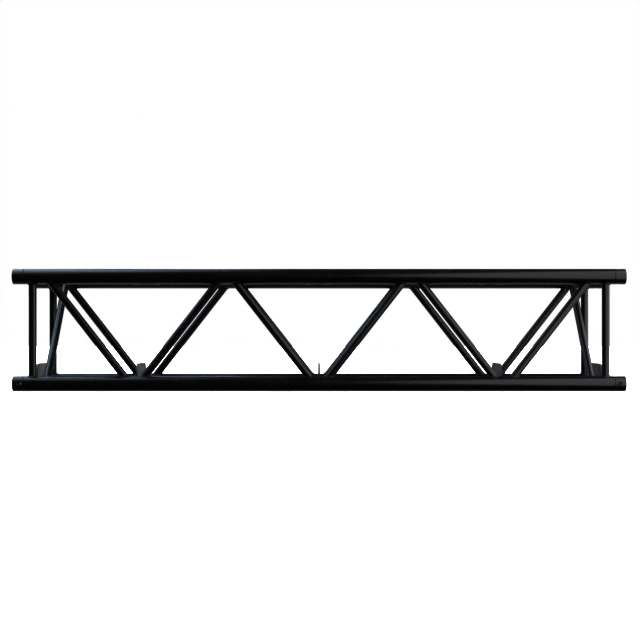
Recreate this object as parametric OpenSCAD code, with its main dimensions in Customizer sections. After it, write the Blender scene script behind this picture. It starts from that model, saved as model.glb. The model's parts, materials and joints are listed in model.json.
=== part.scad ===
// Lighting truss section: a square box truss of four chord tubes with welded tube bracing.
// The truss lies along X and rests on its two bottom chords. The front face is towards -Y.
// Origin: centre of the footprint, at the lowest line of the bottom chords.

/* [Overall size] */
// Length over the end faces of the receivers
truss_length = 2000; // [1900:50:2200]
// Height and depth over the outside of the chords
truss_side = 400; // [380:10:440]

/* [Chords] */
// Outer diameter of a chord tube
chord_d = 50; // [48:0.5:51]
// Wall of a chord tube
chord_wall = 3; // [2.5:0.5:4]

/* [Braces] */
// Outer diameter of a brace tube
brace_d = 25; // [20:1:26]
// Wall of a brace tube
brace_wall = 2; // [1.5:0.5:3]
// From a diagonal's axis to its node's centre, along the chord's axis
node_offset = 14.5; // [12:0.5:18]
// From an end of the truss to the outermost zigzag node
node_inset = 94.5; // [94.5:0.5:104.5]
// From an end of the truss to the axis of the end uprights
upright_inset = 63.5; // [60:0.5:68]
// From an end of the truss to the axis of the end face's diagonal
end_diagonal_inset = 108.5; // [108.5:0.5:112]

/* [Receivers] */
// Length of a receiver's visible collar
collar_length = 36; // [34:1:40]
// Length of the spigot inside the chord
spigot_length = 30; // [20:1:40]
// Diameter of the conical socket at its mouth
socket_mouth_d = 38; // [36:0.5:39]
// Diameter of the conical socket at its inner end
socket_throat_d = 31; // [28:0.5:33]
// Depth of the conical socket
socket_depth = 48; // [44:1:52]
// Diameter of the cross hole for the coupler's locking pin
pin_hole_d = 11; // [10:0.5:13]
// Depth and width of the chamfer at both ends of the cross hole
pin_hole_chamfer = 2; // [1:0.25:2.5]
// From the end face to the axis of the cross hole
pin_hole_inset = 23.5; // [22:0.5:26]

/* [Cross plates] */
// Width of a cross plate, across the truss
plate_width = 230; // [200:5:240]
// Thickness of a cross plate, along the truss
plate_thickness = 6; // [4:1:8]
// Height of a plate's top edge above the axis of the bottom chords
plate_rise = 65; // [60:1:80]
// Radius of a plate's top corners
plate_corner_r = 36; // [20:1:45]

/* [Welds] */
// Leg of a tube weld's fillet
weld_leg = 4; // [3:0.5:5]
// Depth of the groove between a receiver's collar and its chord
groove_depth = 1.2; // [0.8:0.1:1.5]

/* [Hidden] */
half_length = truss_length / 2;
chord_r = chord_d / 2;
brace_r = brace_d / 2;
chord_y = truss_side / 2 - chord_r;

// The zigzag has six diagonals between seven evenly spaced nodes, numbered -3 to 3.
diagonal_count = 6;
outer_node = diagonal_count / 2;
node_pitch = (half_length - node_inset) / outer_node;

// Stations of the cross plates: the bottom nodes and the end uprights
upright_x = half_length - upright_inset;
end_diagonal_x = half_length - end_diagonal_inset;
cross_x = [-upright_x, -2 * node_pitch, 0, 2 * node_pitch, upright_x];

socket_lead = 1;         // chamfer at the socket's mouth
collar_chamfer = 1.5;    // chamfer on the collar's outer edge
spigot_gap = 0.05;       // radial gap between the spigot and the chord
spigot_chamfer = 1;
groove_fill = 0.8;       // share of the groove that the weld fills
eps = 1;                 // overshoot of a cutter past the face it cuts
fine = 128;              // facets of a chord or a receiver
medium = 64;             // facets of a brace

black_satin = [0.07, 0.07, 0.075];
black_gloss = [0.04, 0.04, 0.045];
plate_grey = [0.16, 0.16, 0.17];
weld_black = [0.1, 0.1, 0.105];

SIDES = ["front", "rear"];
LEVELS = ["bottom", "top"];
ENDS = ["left", "right"];
DIAGONALS = [1 : diagonal_count];
CROSSINGS = [1 : len(cross_x)];
WELDS = ["front_face", "rear_face", "top_face", "cross_tube", "end_diagonal", "cross_plate", "receiver"];

function chord_name(side, level) = str(side, "_", level, "_chord");
function receiver_name(side, level, end) = str("receiver_", side, "_", level, "_", end);
function upright_name(side, end) = str(side, "_upright_", end);
function diagonal_name(face, i) = str(face, "_diagonal_", i);
function end_diagonal_name(end) = str("end_diagonal_", end);
function top_cross_name(end) = str("top_cross_tube_", end);
function cross_tube_name(i) = str("bottom_cross_tube_", i);
function cross_plate_name(i) = str("cross_plate_", i);
function weld_name(group) = str(group, "_welds");

NODES = [
    for (s = SIDES, l = LEVELS) chord_name(s, l),
    for (s = SIDES, l = LEVELS, e = ENDS) receiver_name(s, l, e),
    for (s = SIDES, e = ENDS) upright_name(s, e),
    for (f = ["front", "rear", "top"], i = DIAGONALS) diagonal_name(f, i),
    for (e = ENDS) end_diagonal_name(e),
    for (e = ENDS) top_cross_name(e),
    for (i = CROSSINGS) cross_tube_name(i),
    for (i = CROSSINGS) cross_plate_name(i),
    for (w = WELDS) weld_name(w)
];

node = "all";

// Places on the chords' axes
function side_y(side) = side == "front" ? -chord_y : chord_y;
function level_z(level) = level == "bottom" ? chord_r : truss_side - chord_r;
function toward(end) = end == "left" ? -1 : 1;
function on_chord(x, side, level) = [x, side_y(side), level_z(level)];

// A brace is a pair of points on two chords' axes. Even zigzag nodes lie on the first chord of a face
// (the bottom one, or the rear one in the top face), and odd nodes on the second.
function face_point(face, x, first) =
    face == "top" ? on_chord(x, first ? "rear" : "front", "top")
                  : on_chord(x, face, first ? "bottom" : "top");
function zigzag_point(face, k, shift) = face_point(face, k * node_pitch + shift, k % 2 == 0);
function diagonal_axis(face, i) = [
    zigzag_point(face, i - 1 - outer_node, node_offset),
    zigzag_point(face, i - outer_node, -node_offset)
];
function upright_axis(side, end) =
    [for (l = LEVELS) on_chord(toward(end) * upright_x, side, l)];
function end_diagonal_axis(end) = [
    on_chord(toward(end) * end_diagonal_x, "front", "bottom"),
    on_chord(toward(end) * end_diagonal_x, "rear", "top")
];
function cross_axis(x, level) = [for (s = SIDES) on_chord(x, s, level)];

// Stands its child's +Z axis on point a, pointing at point b.
module aim(a, b) {
    v = b - a;
    translate(a)
        rotate([0, acos(v.z / norm(v)), atan2(v.y, v.x)])
            children();
}

// A round bar along a chord's axis, long enough to cut or bound a brace that meets it at p.
module chord_bar(p, r) {
    reach = 6 * brace_d;
    translate(p - [reach / 2, 0, 0])
        rotate([0, 90, 0])
            cylinder(h = reach, r = r, $fn = fine);
}

module brace_bar(axis, r) {
    aim(axis[0], axis[1])
        cylinder(h = norm(axis[1] - axis[0]), r = r, $fn = medium);
}

// A brace tube, coped at both ends to the chords that it meets.
module brace(axis) {
    color(black_satin)
        difference() {
            brace_bar(axis, brace_r);
            brace_bar(axis, brace_r - brace_wall);
            chord_bar(axis[0], chord_r);
            chord_bar(axis[1], chord_r);
        }
}

// The weld round each end of a brace, in the corner between brace and chord.
module brace_welds(axis) {
    difference() {
        intersection() {
            brace_bar(axis, brace_r + weld_leg);
            union() {
                chord_bar(axis[0], chord_r + weld_leg);
                chord_bar(axis[1], chord_r + weld_leg);
            }
        }
        brace_bar(axis, brace_r);
        chord_bar(axis[0], chord_r);
        chord_bar(axis[1], chord_r);
    }
}

module chord(side, level) {
    seam = half_length - collar_length;
    color(black_gloss)
        translate([0, side_y(side), level_z(level)])
            rotate([0, 90, 0])
                rotate_extrude($fn = fine)
                    polygon([
                        [chord_r - chord_wall, -seam],
                        [chord_r - groove_depth, -seam],
                        [chord_r, groove_depth - seam],
                        [chord_r, seam - groove_depth],
                        [chord_r - groove_depth, seam],
                        [chord_r - chord_wall, seam]
                    ]);
}

// Places its child, whose +Z axis runs into the truss, at a receiver's end face.
module at_receiver(side, level, end) {
    translate(on_chord(toward(end) * half_length, side, level))
        rotate([0, -90 * toward(end), 0])
            children();
}

// Turned end fitting: a collar as wide as the chord, a spigot inside it, and a conical socket
// for a coupler. The cross hole is horizontal in the bottom chords and upright in the top ones.
// The cross hole for a locking pin, chamfered where it leaves the collar on both sides.
module pin_hole() {
    pin_r = pin_hole_d / 2;
    cylinder(h = chord_d + 2 * eps, r = pin_r, center = true, $fn = medium);
    for (m = [0, 1])
        mirror([0, 0, m])
            translate([0, 0, chord_r - pin_hole_chamfer])
                cylinder(
                    h = pin_hole_chamfer + eps,
                    r1 = pin_r,
                    r2 = pin_r + pin_hole_chamfer + eps,
                    $fn = medium
                );
}

module receiver(side, level, end) {
    mouth_r = socket_mouth_d / 2;
    throat_r = socket_throat_d / 2;
    spigot_r = chord_r - chord_wall - spigot_gap;
    total = collar_length + spigot_length;
    color(black_gloss)
        difference() {
            at_receiver(side, level, end)
                rotate_extrude($fn = fine)
                    polygon([
                        [mouth_r + socket_lead, 0],
                        [chord_r - collar_chamfer, 0],
                        [chord_r, collar_chamfer],
                        [chord_r, collar_length - groove_depth],
                        [chord_r - groove_depth, collar_length],
                        [spigot_r, collar_length],
                        [spigot_r, total - spigot_chamfer],
                        [spigot_r - spigot_chamfer, total],
                        [throat_r, total],
                        [throat_r, socket_depth],
                        [mouth_r, socket_lead]
                    ]);
            translate(on_chord(toward(end) * (half_length - pin_hole_inset), side, level))
                rotate([level == "bottom" ? 90 : 0, 0, 0])
                    pin_hole();
        }
}

// The weld that fills the groove between a collar and its chord, kept just below both.
module receiver_weld(side, level, end) {
    half_width = groove_depth * groove_fill;
    at_receiver(side, level, end)
        rotate_extrude($fn = fine)
            polygon([
                [chord_r - groove_depth, collar_length],
                [chord_r - groove_depth + half_width, collar_length - half_width],
                [chord_r - groove_depth + half_width, collar_length + half_width]
            ]);
}

// Outline of a cross plate above its foot: square corners below, round ones at the top.
module plate_outline(height) {
    inner = plate_width / 2 - plate_corner_r;
    translate([-plate_width / 2, 0])
        square([plate_width, height - plate_corner_r]);
    translate([-inner, 0])
        square([2 * inner, height]);
    intersection() {
        for (s = [-1, 1])
            translate([s * inner, height - plate_corner_r])
                circle(r = plate_corner_r, $fn = fine);
        translate([-plate_width, 0])
            square([2 * plate_width, height]);
    }
}

// An upright plate that stands on the middle of a bottom cross tube.
module cross_plate(x) {
    sink = plate_thickness / 4;
    foot = brace_r - sink;
    color(plate_grey)
        difference() {
            translate([x, 0, level_z("bottom") + foot])
                rotate([90, 0, 90])
                    linear_extrude(plate_thickness, center = true)
                        plate_outline(plate_rise - foot);
            brace_bar(cross_axis(x, "bottom"), brace_r);
        }
}

// The two welds along the foot of a cross plate.
module cross_plate_weld(x) {
    length = plate_width - 2 * weld_leg;
    difference() {
        for (s = [-1, 1])
            translate([x + s * plate_thickness / 2, 0, level_z("bottom") + brace_r])
                rotate([90, 0, 0])
                    cylinder(h = length, r = weld_leg, center = true, $fn = medium);
        translate([x - plate_thickness / 2, -plate_width, 0])
            cube([plate_thickness, 2 * plate_width, truss_side]);
        brace_bar(cross_axis(x, "bottom"), brace_r);
    }
}

module face_welds(face) {
    for (i = DIAGONALS)
        brace_welds(diagonal_axis(face, i));
    for (e = ENDS)
        brace_welds(face == "top" ? cross_axis(toward(e) * upright_x, "top") : upright_axis(face, e));
}

// The rear welds leave room for the end diagonals, which land beside them on the rear top chord.
module rear_face_welds() {
    difference() {
        face_welds("rear");
        for (e = ENDS)
            brace_bar(end_diagonal_axis(e), brace_r);
    }
}

module cross_tube_welds() {
    for (x = cross_x)
        brace_welds(cross_axis(x, "bottom"));
}

// The end diagonals' upper welds stop short of the outermost rear diagonals and their welds.
module end_diagonal_welds() {
    difference() {
        for (e = ENDS)
            brace_welds(end_diagonal_axis(e));
        for (i = [1, diagonal_count])
            brace_bar(diagonal_axis("rear", i), brace_r + weld_leg);
    }
}

module cross_plate_welds() {
    for (x = cross_x)
        cross_plate_weld(x);
}

module receiver_welds() {
    for (s = SIDES, l = LEVELS, e = ENDS)
        receiver_weld(s, l, e);
}

module welds(group) {
    color(weld_black) {
        if (group == "front_face") face_welds("front");
        if (group == "rear_face") rear_face_welds();
        if (group == "top_face") face_welds("top");
        if (group == "cross_tube") cross_tube_welds();
        if (group == "end_diagonal") end_diagonal_welds();
        if (group == "cross_plate") cross_plate_welds();
        if (group == "receiver") receiver_welds();
    }
}

function chosen(name) = node == "all" || node == name;

for (s = SIDES, l = LEVELS)
    if (chosen(chord_name(s, l))) chord(s, l);
for (s = SIDES, l = LEVELS, e = ENDS)
    if (chosen(receiver_name(s, l, e))) receiver(s, l, e);
for (s = SIDES, e = ENDS)
    if (chosen(upright_name(s, e))) brace(upright_axis(s, e));
for (f = ["front", "rear", "top"], i = DIAGONALS)
    if (chosen(diagonal_name(f, i))) brace(diagonal_axis(f, i));
for (e = ENDS)
    if (chosen(end_diagonal_name(e))) brace(end_diagonal_axis(e));
for (e = ENDS)
    if (chosen(top_cross_name(e))) brace(cross_axis(toward(e) * upright_x, "top"));
for (i = CROSSINGS)
    if (chosen(cross_tube_name(i))) brace(cross_axis(cross_x[i - 1], "bottom"));
for (i = CROSSINGS)
    if (chosen(cross_plate_name(i))) cross_plate(cross_x[i - 1]);
for (w = WELDS)
    if (chosen(weld_name(w))) welds(w);
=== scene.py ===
import json
import math

import bmesh
import bpy
import numpy as np
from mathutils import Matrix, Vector


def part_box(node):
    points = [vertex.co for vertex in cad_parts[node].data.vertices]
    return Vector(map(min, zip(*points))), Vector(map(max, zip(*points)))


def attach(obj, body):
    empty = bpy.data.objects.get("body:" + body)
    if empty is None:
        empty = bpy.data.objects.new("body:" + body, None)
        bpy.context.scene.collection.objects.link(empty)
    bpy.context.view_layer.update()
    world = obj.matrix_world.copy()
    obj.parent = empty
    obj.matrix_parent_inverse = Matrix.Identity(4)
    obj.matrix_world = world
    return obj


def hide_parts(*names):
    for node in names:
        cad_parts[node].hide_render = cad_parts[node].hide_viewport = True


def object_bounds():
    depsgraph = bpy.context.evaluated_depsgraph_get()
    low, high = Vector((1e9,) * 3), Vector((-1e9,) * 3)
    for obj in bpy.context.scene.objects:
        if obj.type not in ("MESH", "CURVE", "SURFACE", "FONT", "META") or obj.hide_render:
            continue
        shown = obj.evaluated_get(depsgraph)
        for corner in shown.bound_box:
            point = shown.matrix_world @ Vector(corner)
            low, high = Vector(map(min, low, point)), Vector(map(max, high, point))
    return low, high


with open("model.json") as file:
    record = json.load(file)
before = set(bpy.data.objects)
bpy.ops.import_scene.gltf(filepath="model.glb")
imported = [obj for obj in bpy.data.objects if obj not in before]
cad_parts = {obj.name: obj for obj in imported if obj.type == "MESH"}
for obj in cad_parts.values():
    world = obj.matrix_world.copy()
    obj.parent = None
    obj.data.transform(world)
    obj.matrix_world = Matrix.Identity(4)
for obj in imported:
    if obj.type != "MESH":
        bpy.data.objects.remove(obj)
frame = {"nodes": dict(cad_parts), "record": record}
cad_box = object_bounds()

MM = 0.001

# ---------------------------------------------------------------- sizes, read from the frame

receiver_low, receiver_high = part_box("receiver_front_bottom_right")
chord_low, chord_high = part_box("front_bottom_chord")
upright_low, upright_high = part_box("front_upright_right")
end_low, end_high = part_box("end_diagonal_right")
plate_low, plate_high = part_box("cross_plate_5")

HALF_LENGTH = receiver_high[0]
SEAM_X = chord_high[0]
CHORD_R = (chord_high[2] - chord_low[2]) / 2
CHORD_Y = -(chord_low[1] + chord_high[1]) / 2
LOW_Z = CHORD_R
HIGH_Z = cad_box[1][2] - CHORD_R
MID_Z = (LOW_Z + HIGH_Z) / 2
BRACE_R = (upright_high[0] - upright_low[0]) / 2
UPRIGHT_X = (upright_high[0] + upright_low[0]) / 2
END_DIAGONAL_X = (end_high[0] + end_low[0]) / 2
PLATE_HALF_WIDTH = plate_high[1]
PLATE_HALF_THICKNESS = (plate_high[0] - plate_low[0]) / 2

# The zigzag: seven evenly spaced nodes, and each diagonal's axis a little off its nodes.
NODE_INSET = 94.5 * MM
NODE_OFFSET = 14.5 * MM
OUTER_NODE = 3
NODE_PITCH = (HALF_LENGTH - NODE_INSET) / OUTER_NODE
PLATE_X = [-UPRIGHT_X, -2 * NODE_PITCH, 0.0, 2 * NODE_PITCH, UPRIGHT_X]

SIDE_Y = {"front": -CHORD_Y, "rear": CHORD_Y}
LEVEL_Z = {"bottom": LOW_Z, "top": HIGH_Z}


# ---------------------------------------------------------------- brace axes

def on_chord(x, side, level):
    return np.array([x, SIDE_Y[side], LEVEL_Z[level]])


def zigzag(face):
    """The six diagonals of a face, each a pair of points on two chords' axes."""
    first, second = {
        "front": (("front", "bottom"), ("front", "top")),
        "rear": (("rear", "bottom"), ("rear", "top")),
        "top": (("rear", "top"), ("front", "top")),
    }[face]

    def node(k, shift):
        return on_chord(k * NODE_PITCH + shift, *(first if k % 2 == 0 else second))

    return [
        (node(k, NODE_OFFSET), node(k + 1, -NODE_OFFSET))
        for k in range(-OUTER_NODE, OUTER_NODE)
    ]


def side_braces(side):
    uprights = [
        (on_chord(x, side, "bottom"), on_chord(x, side, "top"))
        for x in (-UPRIGHT_X, UPRIGHT_X)
    ]
    return zigzag(side) + uprights


def cross_braces(stations, level):
    return [(on_chord(x, "front", level), on_chord(x, "rear", level)) for x in stations]


def end_braces():
    return [
        (on_chord(x, "front", "bottom"), on_chord(x, "rear", "top"))
        for x in (-END_DIAGONAL_X, END_DIAGONAL_X)
    ]


# ---------------------------------------------------------------- weld beads

WELD_LEG = 3.3 * MM        # from the root of a weld to each toe
WELD_EMBED = 0.15 * MM     # how far the toes sink into the tubes
WELD_ROOT = 0.8 * MM       # how far the hidden root sinks into them
WELD_CROWN = 0.35 * MM     # how far the bead stands proud of a flat fillet
RIPPLE_HEIGHT = 0.4 * MM
RIPPLE_PITCH = 2.6 * MM
RIPPLE_STEPS = 6           # stations along one ripple
RIPPLE_SWEEP = 0.45        # how far a ripple's edge trails behind its middle, in ripples
PROFILE = np.linspace(0, 1, 7)
PATH_SAMPLES = 721         # points that measure a saddle's length before its stations are set
WANDERS = ((0.07, 2, 1.0), (0.05, 5, 2.3))  # share of the width, waves round a bead, phase

SEAM_HALF_WIDTH = 0.85 * MM
SEAM_DEPTH = 0.85 * MM     # from the tubes' surface down to the edges of a seam's weld
SEAM_RISE = 0.30 * MM      # from there up to the tops of its ripples

FOOT_SETBACK = 2 * MM      # from the end of a plate's foot to the end of its weld
FOOT_TAPER = 3 * MM        # length over which a foot's weld starts and stops
FOOT_LEAST = 0.15          # share of that length where the taper stops, so that the ends are blunt
TURN_STEP = 1.7            # each ring's wander starts elsewhere, so that no two rings are alike
FAR_TURN = 0.9             # and so does the wander at a brace's far end


def unit(v):
    return v / np.linalg.norm(v, axis=-1, keepdims=True)


def ripples(length):
    """The number of ripples along a bead, and of stations that draw them."""
    count = max(4, round(length / RIPPLE_PITCH))
    return count, count * RIPPLE_STEPS


def crown(share, count):
    """Height of a bead's surface over the line between its toes, station by profile point."""
    across = PROFILE[None, :]
    phase = share[:, None] * count - RIPPLE_SWEEP * (2 * across - 1) ** 2
    scale = np.abs(np.sin(math.pi * phase))
    return 4 * across * (1 - across) * (WELD_CROWN + RIPPLE_HEIGHT * scale)


def wander(share, turn):
    """A hand-laid bead's small, slow changes of width."""
    angle = 2 * math.pi * share
    return 1 + sum(size * np.sin(waves * angle + phase * turn) for size, waves, phase in WANDERS)


def saddle(start, toward, theta):
    """Where a brace leaves its chord: points, the brace's normals and the chord's normals."""
    along = unit(toward - start)
    e1 = unit(np.cross(along, [1.0, 0.0, 0.0]))
    e2 = np.cross(along, e1)
    normal_b = np.cos(theta)[:, None] * e1 + np.sin(theta)[:, None] * e2
    across = np.array([0.0, 1.0, 1.0])
    a = np.sum((along * across) ** 2)
    b = BRACE_R * np.sum(along * across * normal_b, axis=1)
    c = BRACE_R ** 2 * np.sum((normal_b * across) ** 2, axis=1) - CHORD_R ** 2
    reach = (-b + np.sqrt(b * b - a * c)) / a
    points = start + reach[:, None] * along + BRACE_R * normal_b
    normal_c = unit((points - start) * across)
    return along, points, normal_b, normal_c


def saddle_bead(start, toward, turn):
    """A closed ring of weld between a brace and its chord, as stations by profile points."""
    fine = np.linspace(0, 2 * math.pi, PATH_SAMPLES)
    path = saddle(start, toward, fine)[1]
    arc = np.concatenate([[0], np.cumsum(np.linalg.norm(np.diff(path, axis=0), axis=1))])
    count, stations = ripples(arc[-1])
    share = np.arange(stations) / stations
    theta = np.interp(share * arc[-1], arc, fine)
    along, root, normal_b, normal_c = saddle(start, toward, theta)
    leg = (WELD_LEG * wander(share, turn))[:, None]
    toe_b = root + leg * along - WELD_EMBED * normal_b
    out = unit(normal_b - np.sum(normal_b * normal_c, axis=1, keepdims=True) * normal_c)
    toe_c = root + leg * out
    radial = (toe_c - start) * np.array([0.0, 1.0, 1.0])
    toe_c = toe_c - radial + unit(radial) * (CHORD_R - WELD_EMBED)
    outward = unit(normal_b + normal_c)
    height = crown(share, count)
    line = PROFILE[None, :, None]
    surface = toe_b[:, None] * (1 - line) + toe_c[:, None] * line
    surface = surface + height[:, :, None] * outward[:, None]
    hidden = root - WELD_ROOT * outward
    return np.concatenate([surface, hidden[:, None]], axis=1)


def seam_bead(x, y, z, turn):
    """The weld in the groove between a receiver's collar and its chord, below their surface."""
    count, stations = ripples(2 * math.pi * CHORD_R)
    share = np.arange(stations) / stations
    theta = 2 * math.pi * share + turn
    height = crown(share, count)
    height = height / (WELD_CROWN + RIPPLE_HEIGHT) * SEAM_RISE
    radius = CHORD_R - SEAM_DEPTH + height
    offset = np.broadcast_to((2 * PROFILE - 1) * SEAM_HALF_WIDTH, radius.shape)
    hidden = np.full((stations, 1), CHORD_R - 2 * SEAM_DEPTH)
    radius = np.concatenate([radius, hidden], axis=1)
    offset = np.concatenate([offset, np.zeros((stations, 1))], axis=1)
    side = radius * np.cos(theta)[:, None]
    rise = radius * np.sin(theta)[:, None]
    return np.stack([x + offset, y + side, z + rise], axis=-1)


def foot_bead(x, side, turn):
    """The weld along one side of a cross plate's foot, closed at both ends."""
    length = 2 * (PLATE_HALF_WIDTH - FOOT_SETBACK)
    count, stations = ripples(length)
    share = np.linspace(0, 1, stations + 1)
    taper = np.clip(np.minimum(share, 1 - share) * length / FOOT_TAPER, FOOT_LEAST, 1) ** 0.5
    leg = WELD_LEG * wander(share, turn) * taper
    y = (share - 0.5) * length

    def on_tube(inset):
        return LOW_Z + np.sqrt(BRACE_R ** 2 - inset ** 2)

    face = np.full_like(y, PLATE_HALF_THICKNESS)
    root_z = on_tube(face)
    toe_plate = np.stack([face - WELD_EMBED, y, root_z + leg], axis=-1)
    toe_tube = np.stack([face + leg, y, on_tube(face + leg) - WELD_EMBED], axis=-1)
    line = PROFILE[None, :, None]
    surface = toe_plate[:, None] * (1 - line) + toe_tube[:, None] * line
    outward = np.array([1.0, 0.0, 1.0]) / math.sqrt(2)
    surface = surface + (crown(share, count) * taper[:, None])[:, :, None] * outward
    hidden = np.stack([face, y, root_z], axis=-1) - WELD_ROOT * outward
    bead = np.concatenate([surface, hidden[:, None]], axis=1)
    bead[:, :, 0] = x + side * bead[:, :, 0]
    return bead


def add_bead(bm, bead, closed):
    """Skins a bead's stations with quads, and caps its ends unless it is a closed ring."""
    rings = [[bm.verts.new(p) for p in station] for station in bead]
    pairs = list(zip(rings, rings[1:]))
    if closed:
        pairs.append((rings[-1], rings[0]))
    else:
        bm.faces.new(rings[0])
        bm.faces.new(rings[-1][::-1])
    for near, far in pairs:
        for i in range(len(near)):
            j = (i + 1) % len(near)
            bm.faces.new((near[i], near[j], far[j], far[i]))


def bead_piece(name, beads, closed, replaced):
    """One piece of rippled beads, in the place of a group of plain welds."""
    bm = bmesh.new()
    for bead in beads:
        add_bead(bm, bead, closed)
    bmesh.ops.recalc_face_normals(bm, faces=bm.faces)
    for face in bm.faces:
        face.smooth = True
    mesh = bpy.data.meshes.new(name)
    bm.to_mesh(mesh)
    bm.free()
    piece = bpy.data.objects.new(name, mesh)
    bpy.context.collection.objects.link(piece)
    piece.data.materials.append(coats["weld"].material)
    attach(piece, "root")
    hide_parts(replaced)


# ---------------------------------------------------------------- materials

class Shader:
    """A material with one Principled shader, and short calls for the nodes that feed it."""

    def __init__(self, name):
        self.material = bpy.data.materials.new(name)
        self.material.use_nodes = True
        self.tree = self.material.node_tree
        self.principled = self.tree.nodes["Principled BSDF"]
        self.place = self.tree.nodes.new("ShaderNodeTexCoord").outputs["Object"]

    def link(self, source, target):
        self.tree.links.new(source, target)

    def stretched(self, scale):
        node = self.tree.nodes.new("ShaderNodeMapping")
        node.inputs["Scale"].default_value = scale
        self.link(self.place, node.inputs["Vector"])
        return node.outputs["Vector"]

    def noise(self, scale, detail, rough=0.5, place=None):
        node = self.tree.nodes.new("ShaderNodeTexNoise")
        node.inputs["Scale"].default_value = scale
        node.inputs["Detail"].default_value = detail
        node.inputs["Roughness"].default_value = rough
        self.link(place or self.place, node.inputs["Vector"])
        return node.outputs["Fac"]

    def ranged(self, source, low, high, to_low, to_high):
        node = self.tree.nodes.new("ShaderNodeMapRange")
        node.interpolation_type = "SMOOTHSTEP"
        limits = {"From Min": low, "From Max": high, "To Min": to_low, "To Max": to_high}
        for socket, value in limits.items():
            node.inputs[socket].default_value = value
        self.link(source, node.inputs["Value"])
        return node.outputs["Result"]

    def maths(self, operation, a, b=None):
        node = self.tree.nodes.new("ShaderNodeMath")
        node.operation = operation
        for socket, value in zip(node.inputs, (a, b)):
            if isinstance(value, (int, float)):
                socket.default_value = value
            elif value is not None:
                self.link(value, socket)
        return node.outputs["Value"]

    def mixed(self, factor, a, b):
        """Blends two colours. The node's colour sockets share their names with its other types'
        sockets, so they are reached by number."""
        node = self.tree.nodes.new("ShaderNodeMix")
        node.data_type = "RGBA"
        self.link(factor, node.inputs["Factor"])
        for socket, value in ((node.inputs[6], a), (node.inputs[7], b)):
            if isinstance(value, tuple):
                socket.default_value = (*value, 1)
            else:
                self.link(value, socket)
        return node.outputs[2]

    def axes(self):
        node = self.tree.nodes.new("ShaderNodeSeparateXYZ")
        self.link(self.place, node.inputs["Vector"])
        return node.outputs

    def bump(self, height, distance, under=None):
        node = self.tree.nodes.new("ShaderNodeBump")
        node.inputs["Strength"].default_value = 1.0
        node.inputs["Distance"].default_value = distance
        self.link(height, node.inputs["Height"])
        if under is not None:
            self.link(under, node.inputs["Normal"])
        return node.outputs["Normal"]


# Noise scales, in waves to the metre
CLOUD_SCALE = 9.0          # slow changes of shade and gloss
PEEL_SCALE = 720.0         # orange peel
GRAIN_SCALE = 2600.0       # the powder's own grain
RUB_SCALE = 60.0           # dull marks, drawn out along the truss
RUB_STRETCH = (0.12, 1.0, 1.0)
WEAR_SCALE = 90.0          # the ragged edge of worn patches
TURNING_STRETCH = (2500.0, 4.0, 4.0)  # turning marks are fine rings, close together along x

PEEL_HEIGHT = 0.007 * MM
GRAIN_HEIGHT = 0.0015 * MM
GRAIN_DULLING = 0.05       # roughness that the grain adds at most
RUB_DULLING = 0.07         # roughness that a rub mark adds

SOCKET_EDGE = (19.7 * MM, 20.1 * MM)  # radius over which the wear ends, outwards
WEAR_DEPTH = (7 * MM, 10 * MM)        # depth in the socket over which the wear ends
WEAR_RAGGED = 8 * MM                  # how far the patches pull that edge towards the mouth
ALUMINIUM_DARK = (0.52, 0.53, 0.54)
ALUMINIUM_LIGHT = (0.66, 0.66, 0.67)
ALUMINIUM_ROUGH = (0.28, 0.42)


def powder_coat(name, dark, light, smooth, rough):
    """Black powder coat: orange peel, a fine grain, cloudy gloss and a few dull rub marks."""
    s = Shader(name)
    cloud = s.noise(CLOUD_SCALE, detail=4.0, rough=0.6)
    grain = s.noise(GRAIN_SCALE, detail=2.0, rough=0.6)
    orange_peel = s.noise(PEEL_SCALE, detail=2.0, rough=0.45)
    marks = s.noise(RUB_SCALE, detail=5.0, rough=0.7, place=s.stretched(RUB_STRETCH))
    rubs = s.ranged(marks, 0.60, 0.72, 0.0, 1.0)
    shade = s.mixed(s.ranged(cloud, 0.3, 0.7, 0.0, 1.0), dark, light)
    s.link(shade, s.principled.inputs["Base Color"])
    gloss = s.ranged(cloud, 0.25, 0.75, smooth, rough)
    speckle = s.ranged(grain, 0.3, 0.8, 0.0, GRAIN_DULLING)
    dull = s.maths("MULTIPLY", rubs, RUB_DULLING)
    gloss = s.maths("ADD", s.maths("ADD", gloss, speckle), dull)
    s.link(gloss, s.principled.inputs["Roughness"])
    relief = s.bump(orange_peel, PEEL_HEIGHT)
    relief = s.bump(grain, GRAIN_HEIGHT, under=relief)
    s.link(relief, s.principled.inputs["Normal"])
    return s


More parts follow.
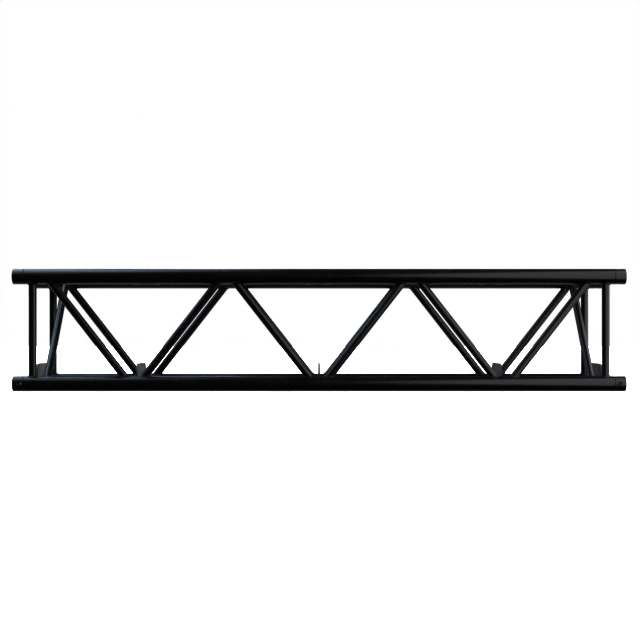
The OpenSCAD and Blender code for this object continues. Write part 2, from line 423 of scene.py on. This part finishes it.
def wear_sockets(s):
    """Wears a coat away just inside the sockets' mouths, down to aluminium with turning marks."""
    x, y, z = s.axes()[:3]
    dy = s.maths("SUBTRACT", s.maths("ABSOLUTE", y), CHORD_Y)
    dz = s.maths("SUBTRACT", s.maths("ABSOLUTE", s.maths("SUBTRACT", z, MID_Z)), HIGH_Z - MID_Z)
    square = s.maths("ADD", s.maths("MULTIPLY", dy, dy), s.maths("MULTIPLY", dz, dz))
    inside = s.ranged(s.maths("SQRT", square), *SOCKET_EDGE, 1.0, 0.0)
    patches = s.noise(WEAR_SCALE, detail=4.0, rough=0.6)
    depth = s.maths("SUBTRACT", HALF_LENGTH, s.maths("ABSOLUTE", x))
    worn_depth = s.maths("ADD", depth, s.ranged(patches, 0.35, 0.65, 0.0, WEAR_RAGGED))
    worn = s.ranged(worn_depth, *WEAR_DEPTH, 1.0, 0.0)
    bare = s.maths("MULTIPLY", inside, worn)
    colour_in = s.principled.inputs["Base Color"]
    rough_in = s.principled.inputs["Roughness"]
    coat_colour = colour_in.links[0].from_socket
    coat_rough = rough_in.links[0].from_socket
    turning = s.noise(1.0, detail=1.0, place=s.stretched(TURNING_STRETCH))
    metal = s.mixed(turning, ALUMINIUM_DARK, ALUMINIUM_LIGHT)
    s.link(s.mixed(bare, coat_colour, metal), colour_in)
    s.link(bare, s.principled.inputs["Metallic"])
    metal_rough = s.ranged(turning, 0.2, 0.8, *ALUMINIUM_ROUGH)
    step = s.maths("MULTIPLY", s.maths("SUBTRACT", metal_rough, coat_rough), bare)
    s.link(s.maths("ADD", coat_rough, step), rough_in)


# Each slot's darkest and lightest shade, and its smoothest and roughest coat
SHADES = {
    "chord": ((0.019, 0.019, 0.0205), (0.026, 0.026, 0.0275), 0.20, 0.27),
    "brace": ((0.019, 0.019, 0.0205), (0.026, 0.026, 0.0275), 0.22, 0.29),
    # The plates carry the same black coat as the tubes. Their shade, several times lighter, is
    # painted light: it stands in for the light that falls on their broad flat faces. Their rougher
    # gloss is their own.
    "plate": ((0.095, 0.095, 0.097), (0.120, 0.120, 0.122), 0.46, 0.54),
    "weld": ((0.020, 0.020, 0.0215), (0.028, 0.028, 0.0295), 0.27, 0.34),
    "receiver": ((0.022, 0.022, 0.0235), (0.030, 0.030, 0.0315), 0.22, 0.29),
}
coats = {slot: powder_coat(slot + "_black", *shade) for slot, shade in SHADES.items()}
wear_sockets(coats["receiver"])

for row in frame["record"]["subparts"]:
    for place in frame["nodes"][row["node"]].material_slots:
        place.material = coats[row["material_slot"]].material


# ---------------------------------------------------------------- welds

def welds_of(braces):
    """The rings at both ends of every brace."""
    beads = []
    for i, (a, b) in enumerate(braces):
        beads.append(saddle_bead(a, b, TURN_STEP * i))
        beads.append(saddle_bead(b, a, TURN_STEP * i + FAR_TURN))
    return beads


top_braces = zigzag("top") + cross_braces((-UPRIGHT_X, UPRIGHT_X), "top")
foot_beads = [foot_bead(x, side, x + side) for x in PLATE_X for side in (-1, 1)]
seam_beads = [
    seam_bead(end * SEAM_X, y, z, end + y)
    for end in (-1, 1)
    for y in SIDE_Y.values()
    for z in LEVEL_Z.values()
]
for name, beads, closed in (
    ("front_face", welds_of(side_braces("front")), True),
    ("rear_face", welds_of(side_braces("rear")), True),
    ("top_face", welds_of(top_braces), True),
    ("cross_tube", welds_of(cross_braces(PLATE_X, "bottom")), True),
    ("end_diagonal", welds_of(end_braces()), True),
    ("cross_plate", foot_beads, False),
    ("receiver", seam_beads, True),
):
    bead_piece(name + "_beads", beads, closed, name + "_welds")


# ---------------------------------------------------------------- stage and light

SHELL_CENTRE = Vector((0.0, 0.0, 0.2))
SHELL_RADIUS = 2.2
SHELL_STEP = 3             # degrees between the points of a glowing shell
SHELL_HIGHEST = 88         # degrees up or down; a shell stops short of its poles
NEUTRAL = (0.975, 0.965, 1.0)
COOL = (0.74, 0.85, 1.0)
WHITE = (1.0, 1.0, 1.0)
LAMP_SPREAD = 60           # degrees across each lamp


def staged(name, mesh, material):
    thing = bpy.data.objects.new(name, mesh)
    thing.data.materials.append(material)
    bpy.context.collection.objects.link(thing)
    return thing


def only_reflected(thing):
    """A light that shows in reflections, and does nothing else."""
    thing.visible_camera = False
    thing.visible_diffuse = False
    thing.visible_shadow = False


def emitter(name, colour, strength, faded=False):
    """An even glow, or one that its mesh's "glow" attribute scales."""
    material = bpy.data.materials.new(name)
    material.use_nodes = True
    tree = material.node_tree
    tree.nodes.clear()
    glow = tree.nodes.new("ShaderNodeEmission")
    glow.inputs["Color"].default_value = (*colour, 1)
    glow.inputs["Strength"].default_value = strength
    if faded:
        share = tree.nodes.new("ShaderNodeAttribute")
        share.attribute_name = "glow"
        scaled = tree.nodes.new("ShaderNodeMath")
        scaled.operation = "MULTIPLY"
        scaled.inputs[1].default_value = strength
        tree.links.new(share.outputs["Fac"], scaled.inputs[0])
        tree.links.new(scaled.outputs["Value"], glow.inputs["Strength"])
    out = tree.nodes.new("ShaderNodeOutputMaterial")
    tree.links.new(glow.outputs["Emission"], out.inputs["Surface"])
    return material


def softbox(name, middle, half, full, gone, colour, strength):
    """A curved oval light. Its middle and half-sizes are bearings, in degrees, to the right of the
    front and up. It is even out to the share of its size full, and dark beyond gone."""
    spans = [
        np.arange(m - h * gone, m + h * gone + SHELL_STEP, SHELL_STEP)
        for m, h in zip(middle, half)
    ]
    bearings = spans[0]
    heights = spans[1][np.abs(spans[1]) < SHELL_HIGHEST]
    points, glows, faces = [], [], []
    for i, bearing in enumerate(bearings):
        for j, height in enumerate(heights):
            turn, rise = math.radians(bearing), math.radians(height)
            level = math.cos(rise)
            way = Vector((math.sin(turn) * level, -math.cos(turn) * level, math.sin(rise)))
            points.append(SHELL_CENTRE + SHELL_RADIUS * way)
            reach = math.hypot((bearing - middle[0]) / half[0], (height - middle[1]) / half[1])
            share = min(max((gone - reach) / (gone - full), 0.0), 1.0)
            glows.append(share * share * (3 - 2 * share))
            if i and j:
                here = i * len(heights) + j
                faces.append((here, here - 1, here - 1 - len(heights), here - len(heights)))
    mesh = bpy.data.meshes.new(name)
    mesh.from_pydata(points, [], faces)
    mesh.attributes.new("glow", "FLOAT", "POINT").data.foreach_set("value", glows)
    only_reflected(staged(name, mesh, emitter(name + "_glow", colour, strength, faded=True)))


def glow_sheet(name, corner, along, across, colour, strength):
    """A flat, even light, from one corner and the two edges that meet there."""
    corner, along, across = Vector(corner), Vector(along), Vector(across)
    corners = [corner, corner + along, corner + along + across, corner + across]
    mesh = bpy.data.meshes.new(name)
    mesh.from_pydata(corners, [], [(0, 1, 2, 3)])
    only_reflected(staged(name, mesh, emitter(name + "_glow", colour, strength)))


def lamp(name, bearing, height, energy):
    """A broad, even light on every surface's matt part, from a bearing and a height in degrees."""
    light = bpy.data.lights.new(name, "SUN")
    light.energy = energy
    light.angle = math.radians(LAMP_SPREAD)
    thing = bpy.data.objects.new(name, light)
    thing.rotation_euler = (math.radians(90 - height), 0, math.radians(bearing))
    bpy.context.collection.objects.link(thing)
    thing.visible_glossy = False


softbox(
    "right_softbox",
    middle=(60, 15),
    half=(52, 43),
    full=0.86,
    gone=1.12,
    colour=NEUTRAL,
    strength=4.2,
)
softbox(
    "left_softbox",
    middle=(-90, 50),
    half=(48, 35),
    full=0.42,
    gone=1.32,
    colour=COOL,
    strength=6.0,
)

# Glowing walls stand behind the truss, and glowing ground lies under and behind it
WALL_Y = 2.5
WALL_FOOT = -1.5
WALL_LEFT = -3.5
WALL_SEAM = -0.4           # where the bright wall meets the dim one
WALL_RIGHT = 3.5
BRIGHT_WALL_HEIGHT = 8.0
DIM_WALL_HEIGHT = 2.6
GROUND_Y = -0.1
GROUND_Z = -0.4
glow_sheet(
    "rear_wall_left",
    corner=(WALL_LEFT, WALL_Y, WALL_FOOT),
    along=(WALL_SEAM - WALL_LEFT, 0, 0),
    across=(0, 0, BRIGHT_WALL_HEIGHT),
    colour=COOL,
    strength=1.9,
)
glow_sheet(
    "rear_wall_right",
    corner=(WALL_SEAM, WALL_Y, WALL_FOOT),
    along=(WALL_RIGHT - WALL_SEAM, 0, 0),
    across=(0, 0, DIM_WALL_HEIGHT),
    colour=WHITE,
    strength=0.45,
)
glow_sheet(
    "rear_ground",
    corner=(WALL_LEFT, GROUND_Y, GROUND_Z),
    along=(WALL_RIGHT - WALL_LEFT, 0, 0),
    across=(0, WALL_Y - GROUND_Y, 0),
    colour=WHITE,
    strength=1.3,
)

lamp("front_lamp", bearing=25, height=50, energy=1.1)
lamp("left_lamp", bearing=-60, height=50, energy=0.9)
lamp("right_lamp", bearing=85, height=10, energy=6.0)
lamp("left_end_lamp", bearing=-85, height=10, energy=2.0)
lamp("rear_lamp", bearing=170, height=40, energy=8.0)

# Backdrop: a white dome that only the camera sees
DOME_RADIUS = 40
dome_mesh = bpy.data.meshes.new("backdrop")
bm = bmesh.new()
bmesh.ops.create_uvsphere(bm, u_segments=48, v_segments=24, radius=DOME_RADIUS)
bm.to_mesh(dome_mesh)
bm.free()
dome = staged("backdrop", dome_mesh, emitter("backdrop_white", WHITE, 1.0))
dome.visible_diffuse = False
dome.visible_glossy = False
dome.visible_shadow = False

# Floor: pale, bright enough to melt into the backdrop, so that it keeps only the softest shadow
FLOOR_HALF = 40
FLOOR_SHADE = (0.5, 0.5, 0.5)
FLOOR_GLOW = 0.96
floor_mesh = bpy.data.meshes.new("floor")
floor_corners = [
    (-FLOOR_HALF, -FLOOR_HALF, 0),
    (FLOOR_HALF, -FLOOR_HALF, 0),
    (FLOOR_HALF, FLOOR_HALF, 0),
    (-FLOOR_HALF, FLOOR_HALF, 0),
]
floor_mesh.from_pydata(floor_corners, [], [(0, 1, 2, 3)])
floor_paint = Shader("floor_white")
floor_paint.principled.inputs["Base Color"].default_value = (*FLOOR_SHADE, 1)
floor_paint.principled.inputs["Roughness"].default_value = 1.0
floor_paint.principled.inputs["Specular IOR Level"].default_value = 0.0
floor_paint.principled.inputs["Emission Color"].default_value = (*WHITE, 1)
floor_paint.principled.inputs["Emission Strength"].default_value = FLOOR_GLOW
floor = staged("floor", floor_mesh, floor_paint.material)
floor.visible_glossy = False
floor.visible_diffuse = False

AMBIENT = (0.08, 0.08, 0.083)
world = bpy.data.worlds.new("studio")
bpy.context.scene.world = world
world.use_nodes = True
world.node_tree.nodes["Background"].inputs["Color"].default_value = (*AMBIENT, 1)

# The contrast of a product photograph: deep blacks, and edges that keep their width on the white
bpy.context.scene.view_settings.view_transform = "Standard"
bpy.context.scene.view_settings.gamma = 0.5


# ---------------------------------------------------------------- camera

# It looks level and square on to the front face, and the shifts slide the truss to its place in
# the picture, so that upright and long edges stay parallel.
CAMERA_PLACE = (-0.0147, -4.62, 0.1644)
camera_data = bpy.data.cameras.new("camera")
camera_data.lens = 76.5
camera_data.sensor_width = 36
camera_data.shift_x = 0.0083
camera_data.shift_y = 0.0330
camera_data.clip_end = 200
camera = bpy.data.objects.new("camera", camera_data)
camera.location = CAMERA_PLACE
camera.rotation_euler = (math.radians(90), 0, 0)
bpy.context.collection.objects.link(camera)
bpy.context.scene.camera = camera
